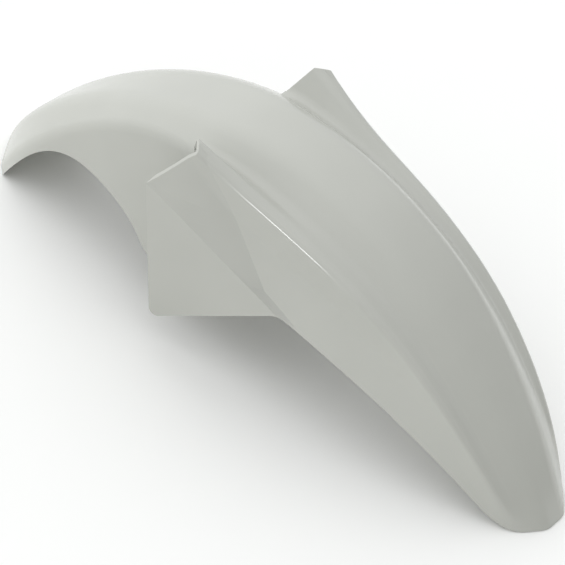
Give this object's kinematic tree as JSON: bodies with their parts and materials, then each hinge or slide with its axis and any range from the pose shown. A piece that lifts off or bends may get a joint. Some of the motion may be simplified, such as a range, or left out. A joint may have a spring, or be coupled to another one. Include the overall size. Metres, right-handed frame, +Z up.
{
  "type": "motorcycle front mudguard",
  "caption": "One-piece moulded front mudguard for a motorcycle: an arched shell with raised side ridges, fork-leg wings, rear skirts and inner tabs that bolt to the fork legs.",
  "frame": {"origin": "middle of the part's length and width, on the plane that its front tip and its tail stand on", "axes": "+X forward along the wheel plane, +Y to the rider's left, +Z up, away from the wheel"},
  "size_m": [0.6514, 0.2088, 0.2121],
  "materials": {
    "shell": "glossy pale grey-white moulded plastic"
  },
  "bodies": {
    "root": {"mudguard": "shell"}
  },
  "joints": []
}
